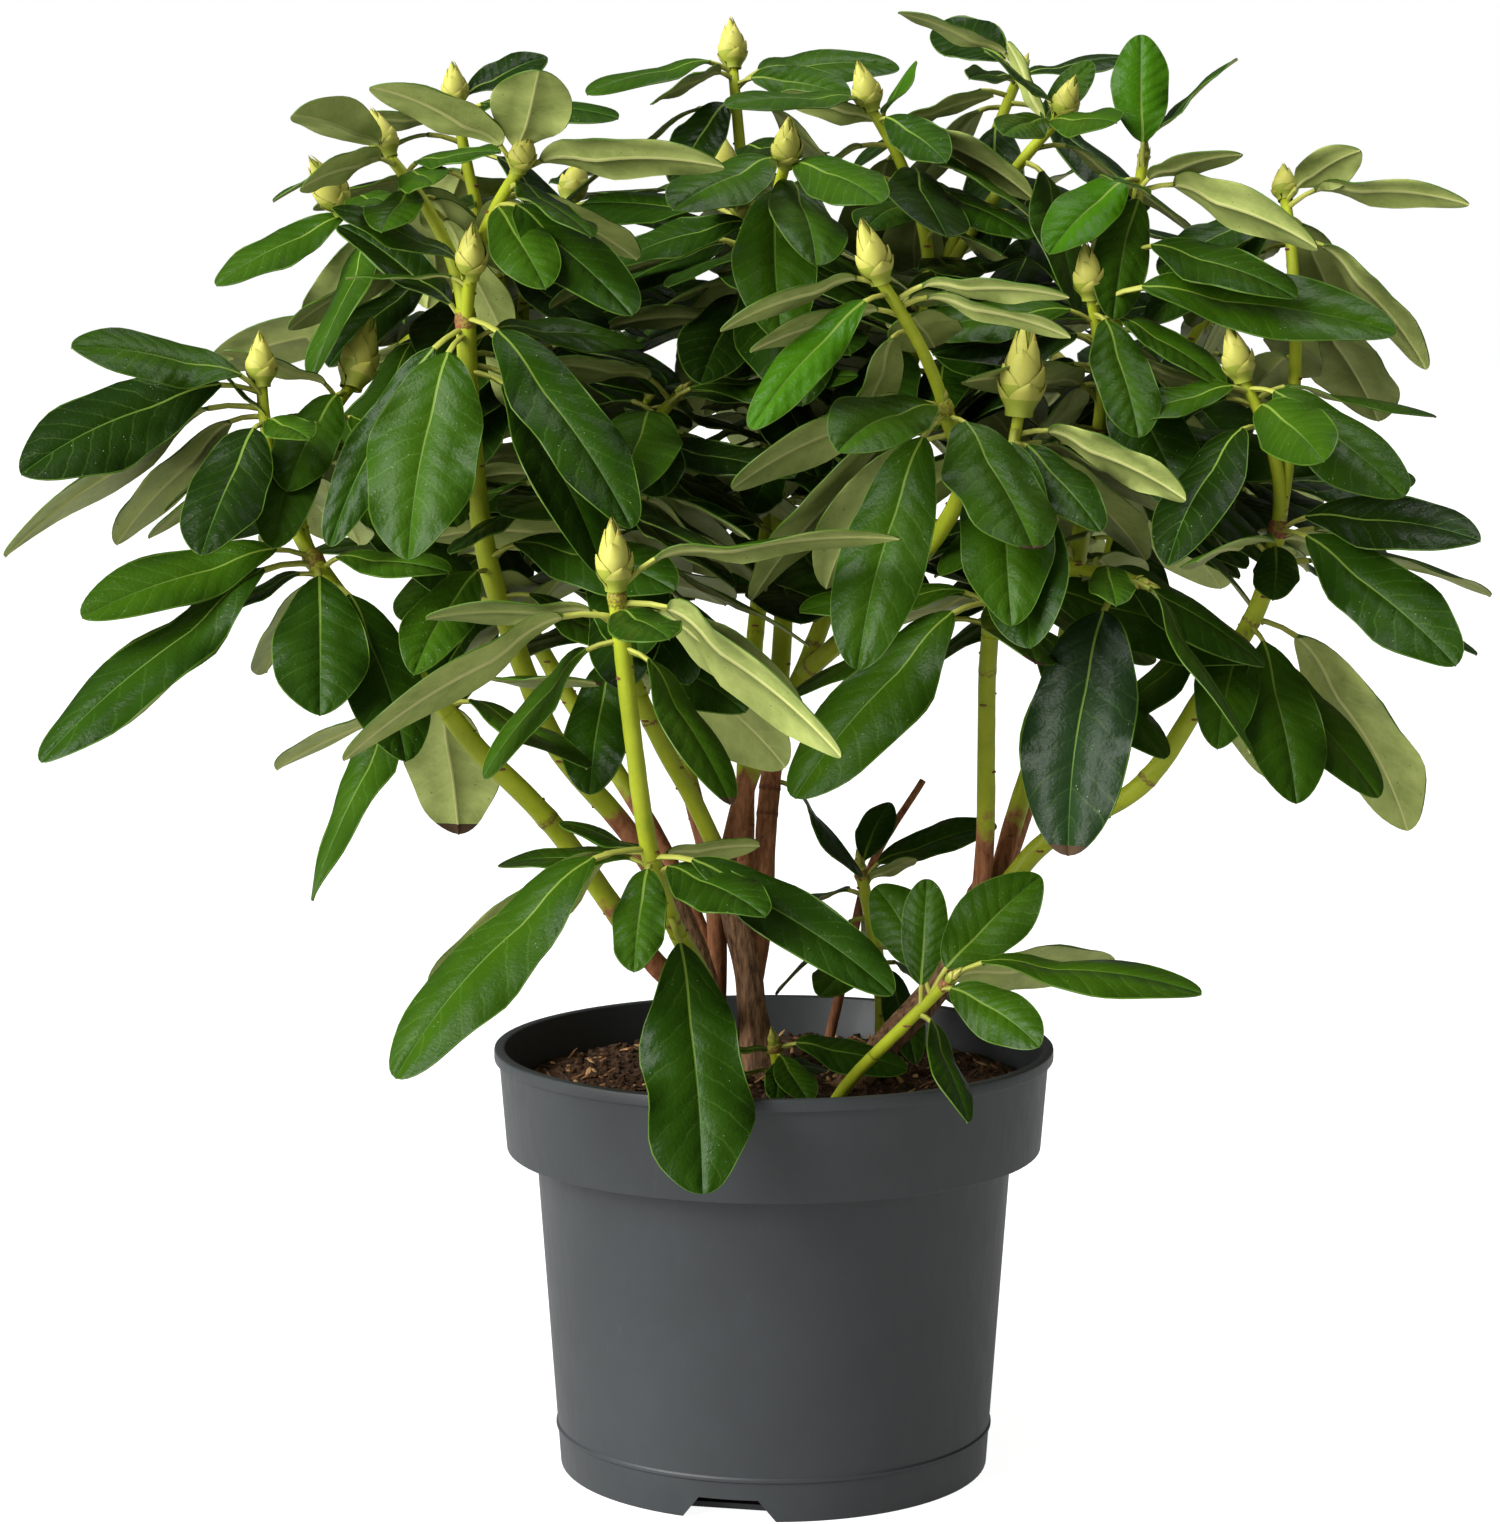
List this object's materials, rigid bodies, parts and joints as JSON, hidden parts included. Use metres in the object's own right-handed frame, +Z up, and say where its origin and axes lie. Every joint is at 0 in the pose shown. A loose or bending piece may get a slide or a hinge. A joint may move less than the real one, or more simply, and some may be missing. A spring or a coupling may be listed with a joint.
{
  "type": "potted rhododendron",
  "caption": "Bushy potted rhododendron: forked stems, whorls of long leathery leaves with pointed flower buds, in a plain grey round nursery pot full of compost.",
  "frame": {"origin": "middle of the pot's flat underside, on the surface that the pot stands on", "axes": "+Z up, -Y the front of the plant, +X to the right seen from the front"},
  "size_m": [0.5892, 0.4574, 0.5993],
  "materials": {
    "pot_plastic": "satin moulded charcoal grey polypropylene",
    "compost": "loose dark bark compost with pale chips",
    "old_bark": "brown flaking bark",
    "green_bark": "smooth yellow-green young bark",
    "foliage": "glossy deep green above, matt pale olive below"
  },
  "bodies": {
    "root": {"pot": "pot_plastic", "compost": "compost", "trunk": "old_bark", "left_trunk": "old_bark", "right_trunk": "old_bark", "dead_twig": "old_bark", "front_bough": "green_bark", "left_bough": "green_bark", "left_centre_bough": "green_bark", "inner_left_bough": "green_bark", "left_rear_bough": "green_bark", "centre_bough": "green_bark", "centre_right_bough": "green_bark", "centre_front_bough": "green_bark", "right_front_bough": "green_bark", "right_centre_bough": "green_bark", "right_bough": "green_bark", "low_right_bough": "green_bark", "rear_low_bough": "green_bark", "rear_left_bough": "green_bark", "rear_centre_bough": "green_bark", "rear_right_bough": "green_bark", "front_foliage": "foliage", "left_foliage": "foliage", "left_centre_foliage": "foliage", "inner_left_foliage": "foliage", "left_rear_foliage": "foliage", "centre_foliage": "foliage", "centre_right_foliage": "foliage", "centre_front_foliage": "foliage", "right_front_foliage": "foliage", "right_centre_foliage": "foliage", "right_foliage": "foliage", "low_right_foliage": "foliage", "rear_low_foliage": "foliage", "rear_left_foliage": "foliage", "rear_centre_foliage": "foliage", "rear_right_foliage": "foliage", "base_foliage": "foliage"}
  },
  "joints": []
}
